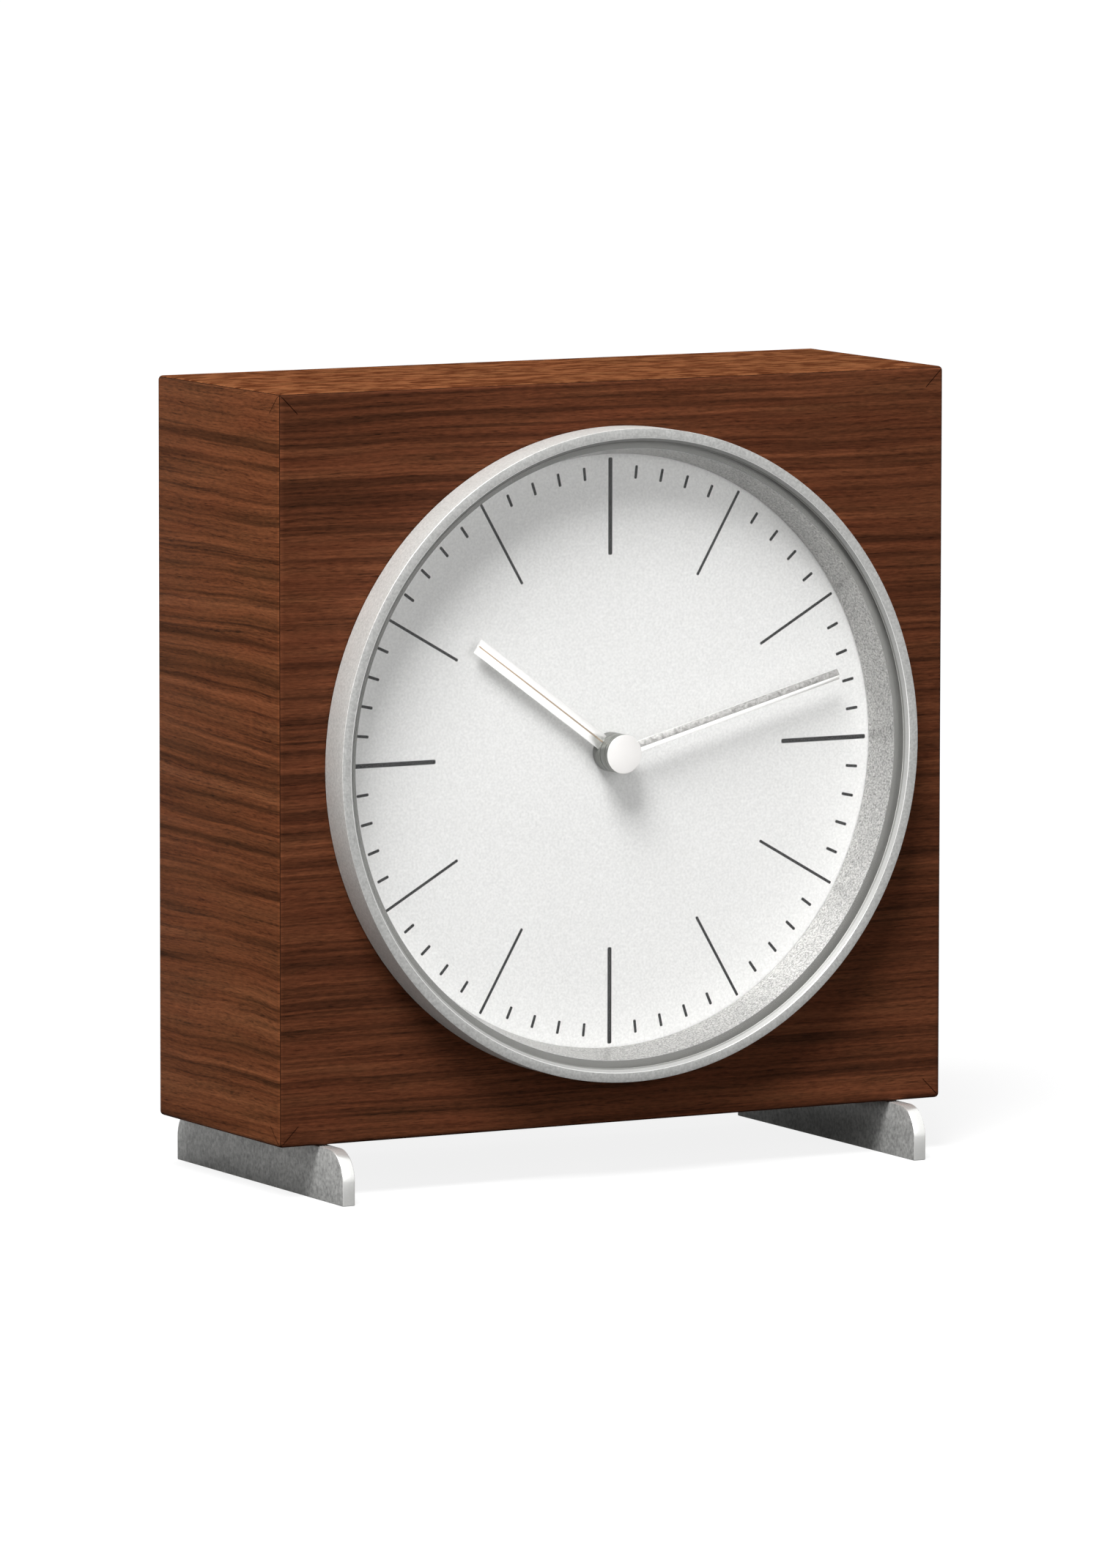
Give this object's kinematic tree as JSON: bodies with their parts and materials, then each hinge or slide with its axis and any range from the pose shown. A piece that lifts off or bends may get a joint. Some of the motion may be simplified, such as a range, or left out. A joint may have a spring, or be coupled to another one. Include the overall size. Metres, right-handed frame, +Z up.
{
  "type": "radio-controlled desk clock",
  "caption": "Square desk clock: mitred wooden case on two metal plates, round glazed dial with two hands, geared movement reached from the open back.",
  "frame": {"origin": "on the surface that the clock stands on, under the middle of the feet", "axes": "+X to the viewer's right, +Y from the dial to the back, +Z up"},
  "size_m": [0.165, 0.079, 0.175],
  "materials": {
    "veneer": "satin lacquered dark walnut veneer",
    "dark_board": "black-stained fibreboard",
    "plain_wood": "raw softwood",
    "satin_aluminium": "fine satin, bright edges",
    "hand_aluminium": "fine satin facets",
    "dial_silver": "silver-white with a fine grain",
    "clear_glass": "clear flat mineral glass",
    "zinc_steel": "zinc plated",
    "brass": "turned",
    "black_plastic": "fine moulded grain",
    "white_plastic": "natural moulded",
    "black_rubber": "soft matt",
    "magnet_grey": "ground magnet on a plastic pinion",
    "copper_wire": "enamelled fine wire",
    "ferrite": "dull sintered",
    "board_green": "solder resist",
    "battery_wrap": "plain shrink wrap",
    "button_grey": "smooth moulded"
  },
  "bodies": {
    "clock_case": {"front_panel": "veneer", "left_side_panel": "veneer", "right_side_panel": "veneer", "top_panel": "veneer", "bottom_panel": "veneer", "rear_panel": "dark_board", "corner_block_upper_left": "plain_wood", "corner_block_upper_right": "plain_wood", "corner_block_lower_left": "plain_wood", "corner_block_lower_right": "plain_wood", "rear_panel_screw_upper_left": "zinc_steel", "rear_panel_screw_upper_right": "zinc_steel", "rear_panel_screw_lower_left": "zinc_steel", "rear_panel_screw_lower_right": "zinc_steel", "left_foot": "satin_aluminium", "right_foot": "satin_aluminium", "foot_screw_left_front": "zinc_steel", "foot_screw_left_rear": "zinc_steel", "foot_screw_right_front": "zinc_steel", "foot_screw_right_rear": "zinc_steel", "bezel": "satin_aluminium", "glass": "clear_glass", "reflector_ring": "satin_aluminium", "dial": "dial_silver", "dial_tray": "black_plastic", "tray_screw_upper_left": "zinc_steel", "tray_screw_upper_right": "zinc_steel", "tray_screw_lower_left": "zinc_steel", "tray_screw_lower_right": "zinc_steel", "movement_nut": "brass", "movement_washer": "black_rubber", "movement_front_plate": "black_plastic", "movement_case": "black_plastic", "middle_plate": "white_plastic", "stator": "zinc_steel", "motor_coil": "copper_wire", "antenna_rod": "ferrite", "antenna_coil": "copper_wire", "circuit_board": "board_green", "quartz_crystal": "zinc_steel", "receiver_chip": "black_plastic", "positive_contact": "zinc_steel", "negative_contact": "zinc_steel"},
    "minute_train": {"centre_wheel": "white_plastic", "minute_hand": "hand_aluminium", "hub_cap": "hand_aluminium"},
    "hour_train": {"hour_wheel": "white_plastic", "hour_hand": "hand_aluminium"},
    "change_train": {"change_wheel": "white_plastic"},
    "second_train": {"second_wheel": "white_plastic"},
    "first_train": {"first_wheel": "white_plastic"},
    "motor_rotor": {"rotor": "magnet_grey"},
    "set_key": {"set_button": "button_grey"},
    "reset_key": {"reset_button": "button_grey"},
    "receive_key": {"receive_button": "button_grey"},
    "battery_cell": {"battery": "battery_wrap"}
  },
  "joints": [
    {"name": "minute_hand_turn", "type": "hinge", "parent": "clock_case", "child": "minute_train", "pos_m": [0, 0, 0.0935], "axis": [0, 1, 0], "continuous": true},
    {"name": "hour_hand_turn", "type": "hinge", "parent": "clock_case", "child": "hour_train", "pos_m": [0, 0, 0.0935], "axis": [0, 1, 0], "continuous": true},
    {"name": "change_wheel_turn", "type": "hinge", "parent": "clock_case", "child": "change_train", "pos_m": [-0.00752, 0, 0.09076], "axis": [0, 1, 0], "continuous": true},
    {"name": "second_wheel_turn", "type": "hinge", "parent": "clock_case", "child": "second_train", "pos_m": [0.0118, 0, 0.08524], "axis": [0, 1, 0], "continuous": true},
    {"name": "first_wheel_turn", "type": "hinge", "parent": "clock_case", "child": "first_train", "pos_m": [0.0166, 0, 0.09355], "axis": [0, 1, 0], "continuous": true},
    {"name": "rotor_turn", "type": "hinge", "parent": "clock_case", "child": "motor_rotor", "pos_m": [0.013, 0, 0.10342], "axis": [0, 1, 0], "continuous": true},
    {"name": "set_button_press", "type": "slide", "parent": "clock_case", "child": "set_key", "axis": [0, -1, 0], "range_m": [0, 0.0008], "stiffness_N_per_m": 400},
    {"name": "reset_button_press", "type": "slide", "parent": "clock_case", "child": "reset_key", "axis": [0, -1, 0], "range_m": [0, 0.0008], "stiffness_N_per_m": 400},
    {"name": "receive_button_press", "type": "slide", "parent": "clock_case", "child": "receive_key", "axis": [0, -1, 0], "range_m": [0, 0.0008], "stiffness_N_per_m": 400},
    {"name": "battery_lift", "type": "slide", "parent": "clock_case", "child": "battery_cell", "axis": [0, 1, 0], "range_m": [0, 0.02]}
  ],
  "couplings": [
    {"joint": "hour_hand_turn", "follows": "minute_hand_turn", "ratio": 0.083333},
    {"joint": "change_wheel_turn", "follows": "minute_hand_turn", "ratio": -0.33333},
    {"joint": "second_wheel_turn", "follows": "minute_hand_turn", "ratio": -5},
    {"joint": "first_wheel_turn", "follows": "minute_hand_turn", "ratio": 15},
    {"joint": "rotor_turn", "follows": "minute_hand_turn", "ratio": -60}
  ]
}
